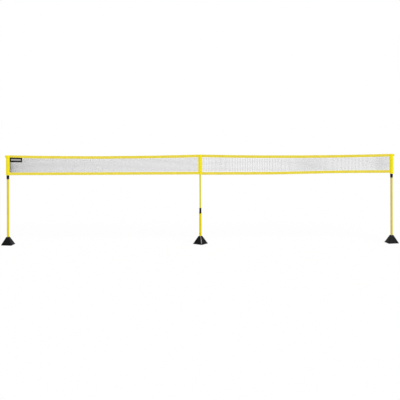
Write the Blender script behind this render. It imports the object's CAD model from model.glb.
import math
import bpy
import bmesh
from mathutils import Matrix, Vector, noise
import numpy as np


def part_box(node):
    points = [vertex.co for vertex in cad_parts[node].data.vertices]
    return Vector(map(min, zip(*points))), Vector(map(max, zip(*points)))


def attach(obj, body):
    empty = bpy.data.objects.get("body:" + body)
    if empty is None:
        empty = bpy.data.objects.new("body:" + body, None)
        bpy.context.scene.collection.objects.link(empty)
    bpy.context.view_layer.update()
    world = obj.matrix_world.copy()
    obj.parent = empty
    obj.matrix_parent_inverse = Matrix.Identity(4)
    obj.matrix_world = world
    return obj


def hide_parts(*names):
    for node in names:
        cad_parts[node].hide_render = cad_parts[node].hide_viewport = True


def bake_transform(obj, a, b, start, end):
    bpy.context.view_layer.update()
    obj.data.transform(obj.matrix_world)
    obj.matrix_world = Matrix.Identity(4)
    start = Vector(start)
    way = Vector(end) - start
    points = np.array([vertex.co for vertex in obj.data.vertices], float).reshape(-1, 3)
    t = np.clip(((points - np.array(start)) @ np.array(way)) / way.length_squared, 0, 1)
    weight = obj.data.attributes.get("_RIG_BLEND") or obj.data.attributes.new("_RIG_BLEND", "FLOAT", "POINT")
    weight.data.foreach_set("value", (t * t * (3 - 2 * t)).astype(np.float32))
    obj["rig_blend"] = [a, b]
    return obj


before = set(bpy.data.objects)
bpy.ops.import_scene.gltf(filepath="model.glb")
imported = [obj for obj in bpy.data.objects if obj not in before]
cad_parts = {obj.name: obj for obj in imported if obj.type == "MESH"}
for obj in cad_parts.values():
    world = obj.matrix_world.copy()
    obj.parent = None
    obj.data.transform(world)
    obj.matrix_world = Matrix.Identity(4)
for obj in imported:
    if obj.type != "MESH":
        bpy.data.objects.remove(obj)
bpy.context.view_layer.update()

SIDES = ("left", "centre", "right")

# ---------- camera ----------
# A long lens held level, about twelve metres in front of the centre pole and
# a little higher than the net. It is shifted down to hold poles and feet.
camera_data = bpy.data.cameras.new("camera")
camera_data.sensor_width = 36
camera_data.lens = 76.25
camera_data.shift_y = -0.2802
camera_data.clip_end = 300
camera = bpy.data.objects.new("camera", camera_data)
camera.location = (-0.152, -11.926, 2.193)
camera.rotation_euler = (math.radians(90), 0.0028, -0.01275)
bpy.context.scene.collection.objects.link(camera)
bpy.context.scene.camera = camera
bpy.context.scene.view_settings.view_transform = "Standard"


# ---------- floor and light ----------
# A wide sheet of white paper, lit by a plain white room and one broad soft
# lamp from the upper right in front. The paper keeps the poles' faint shadows.
def swatch(red, green, blue):
    """The linear colour of a swatch given in 0 to 255."""
    return [((c / 255 + 0.055) / 1.055) ** 2.4 if c > 10 else c / 3294.6 for c in (red, green, blue)] + [1]


def node(tree, kind, inputs=None, **options):
    """Adds a node. inputs has a value for each socket, or the socket that feeds it."""
    made = tree.nodes.new("ShaderNode" + kind)
    for option, value in options.items():
        setattr(made, option, value)
    for socket, value in (inputs or {}).items():
        if isinstance(value, bpy.types.NodeSocket):
            tree.links.new(value, made.inputs[socket])
        else:
            made.inputs[socket].default_value = value
    return made


def seen_ray(tree):
    """1 on rays that see the backdrop itself or its reflection, 0 on rays that light the object."""
    path = node(tree, "LightPath").outputs
    seen = path["Is Camera Ray"]
    for reflected in ("Is Glossy Ray", "Is Transmission Ray"):
        seen = node(tree, "Math", {0: seen, 1: path[reflected]}, operation="MAXIMUM").outputs[0]
    return seen


room_light, paper_glow, paper_half = 0.62, 0.82, 40
room = bpy.data.worlds.new("white_room")
room.use_nodes = True
bpy.context.scene.world = room
tree = room.node_tree
strength = node(tree, "MapRange", {"Value": seen_ray(tree), "To Min": room_light, "To Max": 1})
background = tree.nodes["Background"]
background.inputs["Color"].default_value = (1, 1, 1, 1)
tree.links.new(strength.outputs[0], background.inputs["Strength"])

lamp_data = bpy.data.lights.new("broad_lamp", "SUN")
lamp_data.energy = 1.9
lamp_data.angle = math.radians(35)
lamp = bpy.data.objects.new("broad_lamp", lamp_data)
lamp.rotation_euler = (math.radians(48), 0, math.radians(28))
bpy.context.scene.collection.objects.link(lamp)

paper = bpy.data.materials.new("white_paper")
paper.use_nodes = True
tree = paper.node_tree
tree.nodes.clear()
matt = node(tree, "BsdfDiffuse", {"Color": (0.97, 0.97, 0.97, 1)}).outputs[0]
bright = node(tree, "Emission", {"Color": (1, 1, 1, 1), "Strength": 1}).outputs[0]
share = node(tree, "Math", {0: seen_ray(tree), 1: paper_glow}, operation="MULTIPLY").outputs[0]
mixed = node(tree, "MixShader", {0: share, 1: matt, 2: bright}).outputs[0]
node(tree, "OutputMaterial", {"Surface": mixed})

floor_bm = bmesh.new()
bmesh.ops.create_grid(floor_bm, x_segments=4, y_segments=4, size=paper_half)
floor_mesh = bpy.data.meshes.new("paper_floor")
floor_bm.to_mesh(floor_mesh)
floor_bm.free()
floor_mesh.materials.append(paper)
floor = bpy.data.objects.new("paper_floor", floor_mesh)
bpy.context.scene.collection.objects.link(floor)


# ---------- weighted feet ----------
# Each foot is a hollow pyramid moulded in black polypropylene, with a low rim
# and a socket for the pole, where its skin turns in. Its edges are scuffed, and
# a ridge of the centre foot is rubbed pale.
foot_w, foot_top_w, foot_h = 0.156, 0.042, 0.110
rim_z, slope_z, slope_w = 0.001, 0.009, 0.15
ridge_r, ridge_top_r = 0.012, 0.005
inside_w, boss_r, socket_r, stub_hole_r = 0.1409, 0.02, 0.0162, 0.0147
socket_z, boss_z, boss_top = foot_h - 0.041, foot_h - 0.045, foot_h - 0.01
inside_top_w = inside_w - (slope_w - foot_top_w) * (boss_top - slope_z) / (foot_h - slope_z)
foot_turn = {"left": 80, "centre": -126, "right": -258}
pole_x = {side: sum(c.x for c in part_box(side + "_stub")) / 2 for side in SIDES}
foot_place = {
    side: Matrix.Translation((pole_x[side], 0, 0)) @ Matrix.Rotation(math.radians(foot_turn[side]), 4, "Z")
    for side in SIDES
}
# How bare each foot's ridges are, by the signs of a ridge's x and y before the foot is turned.
bare_ridges = {"left": {}, "centre": {(1, 1): 1}, "right": {(-1, -1): 0.25}}


def surface(name, colour, roughness, **sockets):
    """A new material, its tree and its shader."""
    made = bpy.data.materials.new(name)
    made.use_nodes = True
    shader = made.node_tree.nodes["Principled BSDF"]
    shader.inputs["Base Color"].default_value = swatch(*colour)
    shader.inputs["Roughness"].default_value = roughness
    for socket, value in sockets.items():
        shader.inputs[socket.replace("_", " ")].default_value = value
    return made, made.node_tree, shader


def grain(tree, scale, stretch=(1, 1, 1), detail=3):
    """A cloudy pattern from 0 to 1, scale to the metre."""
    place = node(tree, "TexCoord").outputs["Object"]
    place = node(tree, "Mapping", {"Vector": place, "Scale": stretch}).outputs[0]
    return node(tree, "TexNoise", {"Vector": place, "Scale": scale, "Detail": detail}).outputs[0]


def spread(tree, pattern, low, high, start=0.35, end=0.65):
    """The pattern's start to end spread over low to high."""
    sockets = {"Value": pattern, "From Min": start, "From Max": end, "To Min": low, "To Max": high}
    return node(tree, "MapRange", sockets).outputs[0]


def tint(tree, pattern, dark, light, start=0.3, end=0.7):
    """A colour that goes from dark to light as the pattern rises."""
    ramp = node(tree, "ValToRGB", {"Fac": pattern})
    for stop, position, colour in zip(ramp.color_ramp.elements, (start, end), (dark, light)):
        stop.position = position
        stop.color = swatch(*colour)
    return ramp.outputs[0]


def laid_over(tree, share, under, colour):
    """A plain colour laid over another one by the share."""
    return node(tree, "MixRGB", {"Fac": share, "Color1": under, "Color2": swatch(*colour)}).outputs[0]


def relief(tree, shader, pattern, depth, strength):
    """Raises the surface by the pattern, depth in metres."""
    raised = node(tree, "Bump", {"Height": pattern, "Distance": depth, "Strength": strength})
    tree.links.new(raised.outputs[0], shader.inputs["Normal"])


def layer_share(tree, layer, patches):
    """A layer that is painted on the vertices, broken up by a pattern of patches."""
    painted = node(tree, "Attribute", attribute_name=layer).outputs["Fac"]
    return node(tree, "Math", {0: painted, 1: patches}, operation="MULTIPLY").outputs[0]


foot_plastic, tree, shader = surface("foot_plastic", (14, 14, 15), 0.4, Specular_IOR_Level=0.05)
scuffs = layer_share(tree, "wear", spread(tree, grain(tree, 90, detail=6), 0, 1, 0.42, 0.62))
bare = layer_share(tree, "bare", spread(tree, grain(tree, 60, detail=6), 0.6, 1, 0.4, 0.6))
skin = tint(tree, grain(tree, 25, detail=5), (11, 11, 12), (18, 18, 19))
skin = laid_over(tree, scuffs, skin, (48, 48, 48))
skin = laid_over(tree, bare, skin, (168, 166, 158))
tree.links.new(skin, shader.inputs["Base Color"])
tree.links.new(spread(tree, grain(tree, 140), 0.3, 0.48), shader.inputs["Roughness"])
relief(tree, shader, grain(tree, 1400, detail=2), 0.00012, 0.5)


def square_ring(bm, width, corner, z, wear=0.0):
    """A flat ring of 48 points round a square with round corners."""
    known = set(bm.verts)
    made = bmesh.ops.create_grid(bm, x_segments=1, y_segments=1, size=width / 2)["verts"]
    bmesh.ops.bevel(bm, geom=made, offset=corner, offset_type="OFFSET", segments=11, profile=0.5,
                    affect="VERTICES", material=-1)
    ring = [v for v in bm.verts if v not in known]
    bmesh.ops.delete(bm, geom=list({f for v in ring for f in v.link_faces}), context="FACES_ONLY")
    return place_ring(bm, ring, z, wear)


def round_ring(bm, radius, z, wear=0.0):
    """A flat round ring of 48 points."""
    ring = bmesh.ops.create_circle(bm, segments=48, radius=radius)["verts"]
    return place_ring(bm, ring, z, wear)


def place_ring(bm, ring, z, wear):
    """Lifts a ring to height z, paints its wear on it, and returns its edges."""
    layer = bm.verts.layers.float["wear"]
    for v in ring:
        v.co.z = z
        v[layer] = wear
    return list({e for v in ring for e in v.link_edges})


def make_piece(name, bm, material, body, nodes=(), crease=35):
    """Makes the shape an object that rides on the body, if one is given, and that stands for the nodes."""
    mesh = bpy.data.meshes.new(name)
    bm.to_mesh(mesh)
    bm.free()
    for each in material if isinstance(material, list) else [material]:
        mesh.materials.append(each)
    mesh.shade_smooth()
    mesh.set_sharp_from_angle(angle=math.radians(crease))
    piece = bpy.data.objects.new(name, mesh)
    bpy.context.scene.collection.objects.link(piece)
    if body:
        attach(piece, body)
    if nodes:
        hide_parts(*nodes)
    return piece


def clamped(value):
    """The value, kept between 0 and 1."""
    return max(0, min(1, value))


def slope_size(up):
    """The slopes' width and their ridges' radius, for a share of the way up them."""
    return slope_w + (foot_top_w - slope_w) * up, ridge_r + (ridge_top_r - ridge_r) * up


def slope_ring(bm, z, wear=0.0):
    """A ring of the slopes at height z."""
    width, corner = slope_size((z - slope_z) / (foot_h - slope_z))
    return square_ring(bm, width, corner, z, wear)


def rub_ridges(bm, ridges):
    """Rubs the slopes' ridges bare, most along the middle of a ridge and less near its foot."""
    layer = bm.verts.layers.float["bare"]
    for v in bm.verts:
        up = (v.co.z - slope_z) / (foot_h - slope_z)
        amount = ridges.get((math.copysign(1, v.co.x), math.copysign(1, v.co.y)), 0)
        if amount and 0 < up < 1:
            width, corner = slope_size(up)
            arc_centre = width / 2 - corner
            off = sorted((abs(v.co.x) - arc_centre, abs(v.co.y) - arc_centre))
            if off[1] > 0:
                v[layer] = amount * clamped(4 * up) * clamped(2.2 * off[0] / off[1])


for side in SIDES:
    bm = bmesh.new()
    for layer in ("wear", "bare"):
        bm.verts.layers.float.new(layer)
    rings = [
        # up the outside of the rim, with its edges rounded
        square_ring(bm, foot_w - 0.0030, 0.0105, rim_z),
        square_ring(bm, foot_w - 0.0010, 0.0115, rim_z + 0.0004, 0.5),
        square_ring(bm, foot_w, 0.012, rim_z + 0.0015, 0.8),
        square_ring(bm, foot_w, 0.012, slope_z - 0.0015, 0.8),
        square_ring(bm, foot_w - 0.0009, 0.0116, slope_z - 0.0004, 1),
        square_ring(bm, foot_w - 0.0026, 0.0107, slope_z, 0.6),
        # in to the slopes, and up them to the flat top
        square_ring(bm, slope_w + 0.0014, 0.0105, slope_z),
        square_ring(bm, slope_w - 0.0006, 0.0115, slope_z + 0.0005),
        slope_ring(bm, slope_z + 0.0018),
        slope_ring(bm, slope_z + 0.03, 0.15),
        slope_ring(bm, slope_z + 0.06, 0.15),
        slope_ring(bm, foot_h - 0.0045, 0.4),
        slope_ring(bm, foot_h - 0.0028, 0.7),
        square_ring(bm, foot_top_w - 0.0006, 0.005, foot_h - 0.0012, 1),
        square_ring(bm, foot_top_w - 0.0022, 0.0048, foot_h - 0.0003, 0.8),
        square_ring(bm, foot_top_w - 0.0045, 0.0045, foot_h, 0.4),
        # down the socket and the stub's hole, and round the boss that they are in
        round_ring(bm, socket_r + 0.0014, foot_h),
        round_ring(bm, socket_r + 0.0004, foot_h - 0.0004),
        round_ring(bm, socket_r, foot_h - 0.0014),
        round_ring(bm, socket_r, socket_z),
        round_ring(bm, stub_hole_r, socket_z),
        round_ring(bm, stub_hole_r, boss_z),
        round_ring(bm, boss_r, boss_z),
        round_ring(bm, boss_r, boss_top),
        # down the inside
        square_ring(bm, inside_top_w, 0.003, boss_top),
        square_ring(bm, inside_w, 0.01, slope_z),
        square_ring(bm, inside_w, 0.01, rim_z),
    ]
    for lower, upper in zip(rings, rings[1:] + rings[:1]):
        bmesh.ops.bridge_loops(bm, edges=lower + upper)
    rub_ridges(bm, bare_ridges[side])
    bmesh.ops.recalc_face_normals(bm, faces=bm.faces)
    bmesh.ops.transform(bm, matrix=foot_place[side], verts=bm.verts)
    make_piece(side + "_moulded_foot", bm, foot_plastic, side + "_stand",
               [side + "_foot_shell"])


# ---------- inside and under the feet ----------
# Cast concrete fills the shell round a zinc-plated steel stub, and a plate with
# four rubber pads closes it. A strip of spring steel, bent to a V inside the
# stub, holds the snap button out, and its front leg gives under the button.
def elements(bm):
    """All that a bmesh is made of, as its operators take it."""
    return [*bm.verts, *bm.edges, *bm.faces]


def dress(material, name):
    """Gives a CAD node its real material."""
    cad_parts[name].material_slots[0].material = material


def cells(tree, scale, output):
    """A pattern of cells, scale to the metre: their Color, or the Distance from their middles."""
    place = node(tree, "TexCoord").outputs["Object"]
    return node(tree, "TexVoronoi", {"Vector": place, "Scale": scale}).outputs[output]


def thicken(piece, thickness):
    """Gives a piece's single skin its thickness, half of it to each side."""
    skin = piece.modifiers.new("thickness", "SOLIDIFY")
    skin.thickness = thickness
    skin.offset = 0


concrete, tree, shader = surface("cast_concrete", (150, 146, 138), 0.9)
clouds = tint(tree, grain(tree, 60, detail=8), (122, 118, 110), (168, 164, 156))
tree.links.new(clouds, shader.inputs["Base Color"])
relief(tree, shader, cells(tree, 260, "Distance"), 0.0006, 0.7)

pad_rubber, tree, shader = surface("pad_rubber", (44, 44, 45), 0.8)
clouds = tint(tree, grain(tree, 120, detail=5), (36, 36, 37), (56, 56, 57))
tree.links.new(clouds, shader.inputs["Base Color"])
relief(tree, shader, grain(tree, 900), 0.0002, 0.6)

zinc_steel, tree, shader = surface("zinc_steel", (178, 180, 184), 0.35, Metallic=1)
spangle = node(tree, "SeparateColor", {0: cells(tree, 220, "Color")}).outputs[0]
tree.links.new(tint(tree, spangle, (160, 162, 167), (196, 198, 201), 0, 1), shader.inputs["Base Color"])
tree.links.new(spread(tree, grain(tree, 300), 0.26, 0.42), shader.inputs["Roughness"])

spring_steel, tree, shader = surface("spring_steel", (120, 122, 128), 0.28, Metallic=1)
rolled = tint(tree, grain(tree, 500, (1, 1, 0.1)), (98, 100, 108), (142, 144, 150))
tree.links.new(rolled, shader.inputs["Base Color"])

button_steel, tree, shader = surface("button_steel", (52, 51, 50), 0.3, Metallic=1)
turned = grain(tree, 2500, (1, 1, 0.2), 2)
tree.links.new(spread(tree, turned, 0.26, 0.4), shader.inputs["Roughness"])
relief(tree, shader, turned, 0.00004, 0.4)

for side in SIDES:
    dress(concrete, side + "_foot_weight")
    dress(foot_plastic, side + "_foot_plate")
    dress(pad_rubber, side + "_foot_pads")
    dress(zinc_steel, side + "_stub")
    dress(button_steel, side + "_button")

# The strip's centre line goes down the back leg, round the bend and up the front leg. collar_share
# is how far up the front leg the button's collar rests on it.
spring_w, spring_t, bend_r = 0.008, 0.0008, 0.0026
spring_top, bend_z = foot_h + 0.041, foot_h - 0.003
back_x, front_x = -0.01125, 0.00819
bend_x = (back_x + front_x) / 2
collar_share = 0.7
for side in SIDES:
    bm = bmesh.new()
    edge_y = -spring_w / 2
    back_bottom = bm.verts.new((bend_x - bend_r, edge_y, bend_z))
    bend = bmesh.ops.spin(bm, geom=[back_bottom], cent=(bend_x, 0, bend_z), axis=(0, 1, 0),
                          angle=-math.pi, steps=12)
    front_bottom = [v for v in bend["geom_last"] if isinstance(v, bmesh.types.BMVert)][0]
    back_top = bm.verts.new((back_x, edge_y, spring_top))
    front_top = bm.verts.new((front_x, edge_y, spring_top))
    legs = [bm.edges.new((back_top, back_bottom)), bm.edges.new((front_bottom, front_top))]
    middle = Vector((0, spring_w / 2, 0))
    fixed, knee, tip = back_top.co + middle, front_bottom.co + middle, front_top.co + middle
    bmesh.ops.subdivide_edges(bm, edges=legs, cuts=12)
    bmesh.ops.spin(bm, geom=elements(bm), cent=(0, 0, 0), axis=(0, 1, 0), angle=0,
                   dvec=(0, spring_w / 4, 0), steps=4)
    bmesh.ops.transform(bm, matrix=foot_place[side], verts=bm.verts)
    bmesh.ops.recalc_face_normals(bm, faces=bm.faces)
    spring = make_piece(side + "_v_spring", bm, spring_steel, None, [side + "_button_spring"])
    thicken(spring, spring_t)
    under_collar = knee.lerp(tip, collar_share)
    still = (knee - fixed).normalized()
    start = fixed + still * still.dot(under_collar - fixed)
    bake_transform(spring, side + "_stand", side + "_button",
             foot_place[side] @ start, foot_place[side] @ under_collar)


# ---------- tubes ----------
# Each pole is two steel tubes, powder-coated yellow after drilling. The coat
# has a fine orange peel, and is rubbed along the length where the tubes slide.
def powder_coat(name, colour, rubbed_colour, amount):
    """Powder coat, with streaks rubbed along the pole where its grain is under the amount."""
    made, tree, shader = surface(name, colour, 0.38, Specular_IOR_Level=0.06)
    streaks = grain(tree, 160, (1, 1, 0.03), 6)
    worn = tint(tree, streaks, rubbed_colour, colour, amount - 0.06, amount)
    tree.links.new(worn, shader.inputs["Base Color"])
    tree.links.new(spread(tree, grain(tree, 70, (1, 1, 0.2)), 0.3, 0.46), shader.inputs["Roughness"])
    relief(tree, shader, grain(tree, 900, detail=1), 0.0001, 0.35)
    return made


outer_paint = powder_coat("outer_tube_paint", (208, 187, 4), (186, 165, 8), 0.36)
inner_paint = powder_coat("inner_tube_paint", (203, 193, 5), (174, 163, 24), 0.42)
for side in SIDES:
    dress(outer_paint, side + "_outer_tube")
    dress(inner_paint, side + "_inner_tube")


# ---------- twist locks, bushes and plugs ----------
# Moulded in glass-filled nylon: a body with a slotted collet, a ribbed nut
# that closes it on the inner tube, and the bush and plug at the tube's ends.
lock_plastic, tree, shader = surface("lock_plastic", (22, 20, 18), 0.5, Specular_IOR_Level=0.06)
tree.links.new(tint(tree, grain(tree, 80, detail=5), (18, 16, 15), (27, 25, 23)), shader.inputs["Base Color"])
tree.links.new(spread(tree, grain(tree, 300), 0.42, 0.6), shader.inputs["Roughness"])
relief(tree, shader, grain(tree, 1800, detail=2), 0.0001, 0.5)
for side in SIDES:
    for part in ("_lock_body", "_lock_nut", "_tube_bush", "_tube_plug"):
        dress(lock_plastic, side + part)


# ---------- sleeves ----------
# A strip of yellow polyester canvas is folded over the pole's top and sewn
# down both sides, with the tapes and the netting caught in the seams.
cloth_t = 0.0012
sleeve_r, seam_w, pocket_edge = 0.0132, 0.008, 0.004
fold_run, fold_drop = 0.012, 0.0016
seam_insets, seam_end, hem_h = (0.0022, 0.0058), 0.004, 0.011
stitch_size, stitch_gap = (0.0019, 0.00045, 0.0005), 0.005
pucker, fine_pucker, smooth_run = 0.0009, 0.0004, 0.02
sleeve_half = {side: (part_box(side + "_sleeve")[1].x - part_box(side + "_sleeve")[0].x) / 2 for side in SIDES}
net_bottom, net_top = (corner.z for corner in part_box("left_sleeve"))
net_h = net_top - net_bottom


def woven(tree, shader, thread, dark, light, depth, soil=0.12):
    """A plain weave on the UV map, which is in metres. thread is the space between threads."""
    place = node(tree, "TexCoord").outputs["UV"]
    place = node(tree, "Mapping", {"Vector": place, "Scale": [1 / thread] * 3}).outputs[0]
    # A wave texture of this scale has one rib to the thread.
    wave = {"Vector": place, "Scale": math.pi / 10, "Distortion": 0.4, "Detail": 1}
    ribs = [node(tree, "TexWave", wave, bands_direction=direction).outputs["Fac"] for direction in ("X", "Y")]
    over = node(tree, "TexChecker", {"Vector": place, "Scale": 1}).outputs["Fac"]
    cloth = node(tree, "Mix", {0: over, 2: ribs[0], 3: ribs[1]}).outputs[0]
    colour = tint(tree, cloth, dark, light, 0, 1)
    dull = spread(tree, grain(tree, 9, detail=6), 0, soil, 0.4, 0.7)
    colour = laid_over(tree, dull, colour, [c * 0.72 for c in dark])
    tree.links.new(colour, shader.inputs["Base Color"])
    relief(tree, shader, cloth, depth, 0.8)


def lay_uv(bm, top):
    """UV in metres on cloth folded over a line at height top: along it, and down both sides of it."""
    layer = bm.loops.layers.uv.verify()
    for face in bm.faces:
        side = 1 if face.calc_center_median().y > 0 else -1
        for loop in face.loops:
            p = loop.vert.co
            loop[layer].uv = (p.x, side * (top - p.z) + p.y)


def repeat(bm, known, step, row, rows):
    """Repeats what isn't in known along step: row times, and then that row again, rows times in all."""
    for stride, times in ((step, row), (step * row, rows)):
        if times > 1:
            part = [e for e in elements(bm) if e not in known]
            bmesh.ops.spin(bm, geom=part, cent=(0, 0, 0), axis=(0, 0, 1), angle=0, dvec=stride,
                           steps=times - 1, use_duplicate=True)


def stitches(bm, start, run, spacing):
    """A row of stitches from start along the vector run, about spacing apart."""
    known = set(elements(bm))
    along = run.normalized()
    place = Matrix.Translation(start) @ along.to_track_quat("X", "Z").to_matrix().to_4x4()
    place = place @ Matrix.Diagonal((*stitch_size, 1))
    bmesh.ops.create_icosphere(bm, subdivisions=1, radius=1, matrix=place)
    row = max(1, round(math.sqrt(run.length / spacing)))
    rows = round(run.length / spacing / row)
    repeat(bm, known, run / (row * rows), row, rows)


sleeve_cloth, tree, shader = surface(
    "sleeve_canvas", (234, 218, 8), 0.85, Specular_IOR_Level=0.2, Sheen_Weight=0.06, Sheen_Roughness=0.5)
woven(tree, shader, 0.0009, (212, 194, 6), (244, 229, 12), 0.0002)

thread, tree, shader = surface("sewing_thread", (222, 206, 60), 0.7, Sheen_Weight=0.2)
tree.links.new(tint(tree, grain(tree, 1500), (196, 178, 36), (238, 224, 96)), shader.inputs["Base Color"])


def pocket_y(x, half):
    """How far the cloth stands off the pole's middle plane at x, from one seam to the other."""
    tip = half - seam_w + pocket_edge
    edge = sleeve_r ** 2 / tip
    if abs(x) < edge:
        off = math.sqrt(sleeve_r ** 2 - x ** 2)
    else:
        off = math.sqrt(sleeve_r ** 2 - edge ** 2) * max(0, tip - abs(x)) / (tip - edge)
    return math.hypot(off * 0.97, cloth_t * 2)


for side in SIDES:
    half = sleeve_half[side]
    bm = bmesh.new()
    bmesh.ops.create_grid(bm, x_segments=28, y_segments=116, size=1)
    for v in bm.verts:
        across, run = v.co.x, v.co.y * (net_h + fold_run)
        x = across * half
        down = max(0, abs(run) - fold_run)
        fold = clamped(abs(run) / fold_run) * math.pi / 2
        puckers = noise.noise(Vector((across * 1.7, run * 26, pole_x[side]))) * pucker
        puckers += noise.noise(Vector((across * 5, run * 70, pole_x[side] + 9))) * fine_pucker
        puckers *= clamped(down / smooth_run) * (0.35 + clamped(abs(across) * 1.1))
        face = 1 if run > 0 else -1
        y = face * math.sin(fold) * (pocket_y(x, half) - cloth_t / 2 + puckers)
        z = net_top - cloth_t / 2 - down - (1 - math.cos(fold)) * fold_drop
        v.co = (pole_x[side] + x, y, max(z, net_bottom))
    lay_uv(bm, net_top)
    bmesh.ops.recalc_face_normals(bm, faces=bm.faces)
    sleeve = make_piece(side + "_canvas_sleeve", bm, sleeve_cloth, "net_frame",
                        [side + "_sleeve"], 80)
    thicken(sleeve, cloth_t)

    bm = bmesh.new()
    for face in (-1, 1):
        for edge in (-1, 1):
            for inset in seam_insets:
                seam_low = Vector((pole_x[side] + edge * (half - inset), face, net_bottom + seam_end))
                stitches(bm, seam_low, Vector((0, 0, net_h - 2 * seam_end)), 0.0052)
        hem = Vector((pole_x[side] - half + seam_w, face, net_bottom + hem_h))
        stitches(bm, hem, Vector((2 * (half - seam_w), 0, 0)), stitch_gap)
    for v in bm.verts:
        face = 1 if v.co.y > 0 else -1
        v.co.y += face * (pocket_y(v.co.x - pole_x[side], half) + 0.0002 - 1)
    seam = make_piece(side + "_sleeve_stitching", bm, thread, "net_frame")


# ---------- netting ----------
# Square netting, knotted by machine from black twisted nylon twine. Its edges
# are sewn into the tapes and the sleeves, and it gathers a little at the ends.
tape_w, top_sag, bottom_sag = 0.038, 0.016, 0.001
right_drop, right_rise = 0.005, 0.017
ripple, billow, flutter = 0.0022, 0.008, 0.004
squares, batch, rows = {"left": 275, "right": 154}, 11, 12
twine_r, knot_r, edge_run, looseness = 0.0011, 0.002, 0.01, 0.0012
bays = {bay: [corner.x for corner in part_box(bay + "_top_tape")] for bay in ("left", "right")}


def hang(bm, bay):
    """Hangs flat work in its bay. Flat work has its height over the net's bottom edge as z.

    The edges sag and the cloth waves, most in the middle of the bay. In the right
    bay the bottom edge is drawn up toward the end pole.
    """
    start, end = bays[bay]
    for v in bm.verts:
        x, y, height = v.co
        along = (x - start) / (end - start)
        arch = max(0, 4 * along * (1 - along))
        bottom = net_bottom - bottom_sag * arch
        if bay == "right":
            drawn = clamped((along - 0.3) / 0.5)
            bottom += right_rise * drawn ** 2 * (3 - 2 * drawn) - right_drop
        top = net_top - top_sag * arch
        if height < tape_w:
            z = bottom + height
        elif height > net_h - tape_w:
            z = top - (net_h - height)
        else:
            z = bottom + tape_w + (height - tape_w) * (top - bottom - 2 * tape_w) / (net_h - 2 * tape_w)
        z += arch * ripple * noise.noise(Vector((x * 7, height * 2, 3)))
        y += arch * billow * noise.noise(Vector((x * 0.9, height * 2, 5)))
        y += arch * flutter * noise.noise(Vector((x * 4, height * 5, 7)))
        v.co = (x, y, z)


def twine(bm, start, end):
    """A straight piece of twine."""
    run = end - start
    place = Matrix.Translation((start + end) / 2) @ run.to_track_quat("Z", "Y").to_matrix().to_4x4()
    bmesh.ops.create_cone(bm, cap_ends=True, segments=6, radius1=twine_r, radius2=twine_r,
                          depth=run.length, matrix=place)


def gathered(bay, along):
    """How far the squares at a share of the bay are drawn along it, as a share too."""
    if bay == "left":
        return along ** 1.35 - along
    uneven = 0.025 * math.sin(12 * (along - 0.24)) * min(1, 8 * along, 8 - 8 * along)
    return along - along ** 1.2 + uneven


net_twine, tree, shader = surface("net_twine", (34, 33, 36), 0.75, Sheen_Weight=0.15)
millimetres = node(tree, "TexCoord").outputs["Object"]
millimetres = node(tree, "Mapping", {"Vector": millimetres, "Scale": (1000, 1000, 1000)}).outputs[0]
wave = {"Vector": millimetres, "Scale": 0.28, "Distortion": 0.5}
strands = node(tree, "TexWave", wave, bands_direction="DIAGONAL").outputs["Fac"]
tree.links.new(tint(tree, strands, (24, 23, 26), (46, 45, 48), 0, 1), shader.inputs["Base Color"])
relief(tree, shader, strands, 0.0003, 0.8)

knot_shape = Matrix.Rotation(0.6, 4, "Y") @ Matrix.Diagonal((1, 0.8, 1.1, 1))
for bay, (start, end) in bays.items():
    pitch = (end - start) / squares[bay]
    lines = [tape_w + (net_h - 2 * tape_w) * row / rows for row in range(1, rows)]
    heights = [tape_w - edge_run] + lines + [net_h - tape_w + edge_run]
    bm = bmesh.new()
    first = start + pitch / 2
    for low, high in zip(heights, heights[1:]):
        twine(bm, Vector((first, 0, low)), Vector((first, 0, high)))
    for line in lines:
        twine(bm, Vector((first - pitch, 0, line)), Vector((first, 0, line)))
        place = Matrix.Translation((first, 0, line)) @ knot_shape
        bmesh.ops.create_icosphere(bm, subdivisions=1, radius=knot_r, matrix=place)
    repeat(bm, set(), Vector((pitch, 0, 0)), batch, squares[bay] // batch)
    for line in lines:
        twine(bm, Vector((end - pitch / 2, 0, line)), Vector((end + pitch / 2, 0, line)))
    for v in bm.verts:
        column = first + pitch * round((v.co.x - first) / pitch)
        pull = gathered(bay, clamped((column - start) / (end - start)))
        loose = Vector((v.co.x * 37, 0, v.co.z * 37))
        v.co.x += pull * (end - start) + looseness * noise.noise(loose)
        if tape_w < v.co.z < net_h - tape_w:
            v.co.z += looseness * noise.noise(loose + Vector((0, 11, 0)))
        v.co.y += looseness * noise.noise(loose + Vector((0, 23, 0))) * 2 / 3
    hang(bm, bay)
    net = make_piece(bay + "_knotted_netting", bm, net_twine, "net_frame", [bay + "_net"], 180)
    length = squares[bay] * (net_h - 2 * tape_w) + rows * (end - start)


# ---------- tapes ----------
# Yellow webbing folded lengthwise over the netting's top and bottom edges and
# sewn through with three rows of stitches. Its ends are pressed flat, boxed with
# stitches and sewn into the sleeves.
tape_tuck, press_start, press_end, pressed = 0.005, 0.009, 0.001, 0.68
tape_insets, seam_start, box_w, tape_steps = (0.0035, 0.0075, tape_w - 0.005), 0.012, 0.024, 140
webbing, tree, shader = surface(
    "tape_webbing", (220, 202, 58), 0.8, Specular_IOR_Level=0.3, Sheen_Weight=0.15, Sheen_Roughness=0.5)
woven(tree, shader, 0.0013, (202, 183, 42), (232, 216, 72), 0.0003)


def box_stitch(bm, x, y, low, high, width):
    """A stitched box with a cross in it, as holds the end of a tape."""
    corners = [Vector(c) for c in ((x, y, low), (x + width, y, low), (x + width, y, high), (x, y, high))]
    for a, b in ((0, 1), (1, 2), (2, 3), (3, 0), (0, 2), (1, 3)):
        stitches(bm, corners[a], corners[b] - corners[a], 0.0045)


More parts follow.
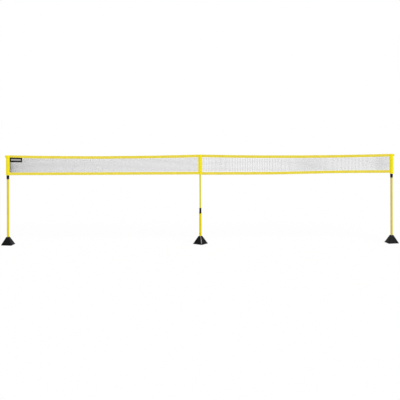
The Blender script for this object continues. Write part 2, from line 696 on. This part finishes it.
for bay, (start, end) in bays.items():
    for edge, fold, up in (("top", net_h, -1), ("bottom", 0, 1)):
        gap = cloth_t * 1.5
        tucked = start - tape_tuck
        centre = (tucked, 0, fold + up * (gap + cloth_t / 2))
        bm = bmesh.new()
        low = bm.verts.new((tucked, -gap, fold + up * tape_w))
        high = bm.verts.new((tucked, -gap, centre[2]))
        leg = bm.edges.new((low, high))
        bmesh.ops.spin(bm, geom=[high], cent=centre, axis=(1, 0, 0), angle=up * math.pi / 2, steps=4)
        bmesh.ops.subdivide_edges(bm, edges=[leg], cuts=5)
        bmesh.ops.mirror(bm, geom=elements(bm), axis="Y", merge_dist=0.0002)
        length = end - start + 2 * tape_tuck
        bmesh.ops.spin(bm, geom=elements(bm), cent=(0, 0, 0), axis=(1, 0, 0), angle=0,
                       dvec=(length / tape_steps, 0, 0), steps=tape_steps)
        for x in (start + press_end, start + press_start, end - press_start, end - press_end):
            bmesh.ops.bisect_plane(bm, geom=elements(bm), plane_co=(x, 0, 0), plane_no=(1, 0, 0))
        lay_uv(bm, fold)
        for v in bm.verts:
            past = max(start + press_start - v.co.x, v.co.x - end + press_start)
            v.co.y *= 1 - pressed * clamped(past / (press_start - press_end))
        bmesh.ops.recalc_face_normals(bm, faces=bm.faces)
        hang(bm, bay)
        name = bay + "_" + edge + "_tape"
        tape = make_piece(name + "_webbing", bm, webbing, "net_frame", [name], 80)
        thicken(tape, cloth_t)

        bm = bmesh.new()
        for face in (-1, 1):
            y = face * (cloth_t * 2 + 0.0001)
            for inset in tape_insets:
                height = fold + up * (tape_w - inset)
                run = Vector((end - start - 2 * seam_start, 0, 0))
                stitches(bm, Vector((start + seam_start, y, height)), run, 0.006)
            for x in (start + seam_start, end - seam_start - box_w):
                box_stitch(bm, x, y, fold + up * 0.008, fold + up * (tape_w - 0.01), box_w)
        hang(bm, bay)
        seam = make_piece(name + "_stitching", bm, thread, "net_frame")


# ---------- tape ends at the corners ----------
# Past each end sleeve the top tape's end is folded back on itself and sewn,
# which leaves a short flat tab standing out at the corner.
tab_root, tab_reach, tab_narrowing, tab_steps = 0.004, 0.021, 0.55, 12
for side, out in (("left", -1), ("right", 1)):
    low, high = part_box(side + "_corner_tab")
    near, tip = (high.x, low.x) if side == "left" else (low.x, high.x)
    root = near - out * tab_root
    gap = cloth_t / 2
    bm = bmesh.new()
    inner = bm.verts.new((root, -gap, low.z))
    outer = bm.verts.new((tip - out * gap * 2, -gap, low.z))
    leg = bm.edges.new((inner, outer))
    bmesh.ops.spin(bm, geom=[outer], cent=(outer.co.x, 0, low.z), axis=(0, 0, 1),
                   angle=out * math.pi / 2, steps=3)
    bmesh.ops.subdivide_edges(bm, edges=[leg], cuts=5)
    bmesh.ops.mirror(bm, geom=elements(bm), axis="Y", merge_dist=0.0002)
    bmesh.ops.spin(bm, geom=elements(bm), cent=(0, 0, 0), axis=(0, 0, 1), angle=0,
                   dvec=(0, 0, (high.z - low.z) / tab_steps), steps=tab_steps)
    layer = bm.loops.layers.uv.verify()
    for face in bm.faces:
        for loop in face.loops:
            loop[layer].uv = (loop.vert.co.x, loop.vert.co.z)
    bmesh.ops.recalc_face_normals(bm, faces=bm.faces)
    stitched = bmesh.new()
    for face in (-1, 1):
        for inset in (0.003, 0.035):
            seam_root = Vector((root + out * 0.006, face * 0.0013, low.z + inset))
            stitches(stitched, seam_root, Vector((out * 0.009, 0, 0)), 0.0045)
    middle = low.z + 0.55 * (high.z - low.z)
    for shape in (bm, stitched):
        for v in shape.verts:
            reach = max(0, (v.co.x - root) * out) / tab_reach
            v.co.y += 0.004 * reach ** 2 + 0.001 * noise.noise(Vector((0, out, v.co.z * 60))) * reach
            v.co.z += (middle - v.co.z) * tab_narrowing * clamped(reach) ** 1.5 - 0.0015 * reach ** 2
    tab = make_piece(side + "_folded_tape_end", bm, webbing, "net_frame",
                     [side + "_corner_tab"], 80)
    thicken(tab, cloth_t * 0.95)
    seam = make_piece(side + "_tape_end_stitching", stitched, thread, "net_frame")


# ---------- patch ----------
# A black woven patch sewn to the front under the top tape, at the left. Its
# middle is coated pale and is left blank.
patch_l, patch_h, patch_lap = 0.174, 0.065, 0.006
border, bottom_border, seam_inset, lift = 0.018, 0.022, 0.004, 0.0012
patch_top = net_h - tape_w + patch_lap
black_cloth, tree, shader = surface("patch_cloth", (14, 13, 14), 0.8, Specular_IOR_Level=0.1)
woven(tree, shader, 0.0008, (10, 9, 10), (20, 19, 20), 0.00015)
pale_coat, tree, shader = surface("patch_coating", (150, 149, 147), 0.6, Specular_IOR_Level=0.2)
woven(tree, shader, 0.0008, (140, 139, 137), (160, 159, 157), 0.00008, 0.06)

start = bays["left"][0]
bm = bmesh.new()
bmesh.ops.create_grid(bm, x_segments=58, y_segments=20, size=0.5)
for v in bm.verts:
    v.co = (start + (v.co.x + 0.5) * patch_l, -cloth_t * 2.5, patch_top + (v.co.y - 0.5) * patch_h)
lay_uv(bm, net_h)
for face in bm.faces:
    middle = face.calc_center_median()
    along, down = middle.x - start, patch_top - middle.z
    coated = border < along < patch_l - border and border < down < patch_h - bottom_border
    face.material_index = 1 if coated else 0
bmesh.ops.recalc_face_normals(bm, faces=bm.faces)
for v in bm.verts:
    v.co.y -= lift * max(0, noise.noise(Vector((v.co.x * 20, v.co.z * 25, 1))))
hang(bm, "left")
patch = make_piece("blank_patch", bm, [black_cloth, pale_coat], "net_frame", ["patch"], 80)
thicken(patch, cloth_t)

bm = bmesh.new()
across = Vector((patch_l - 2 * seam_inset, 0, 0))
upward = Vector((0, 0, patch_h - 3 * seam_inset))
for x, z, run in (
    (seam_inset, seam_inset, across), (seam_inset, patch_h - seam_inset, across),
    (seam_inset, 1.5 * seam_inset, upward), (patch_l - seam_inset, 1.5 * seam_inset, upward),
):
    stitches(bm, Vector((start + x, -cloth_t * 3.1, patch_top - patch_h + z)), run, stitch_gap)
hang(bm, "left")
seam = make_piece("patch_stitching", bm, black_cloth, "net_frame")
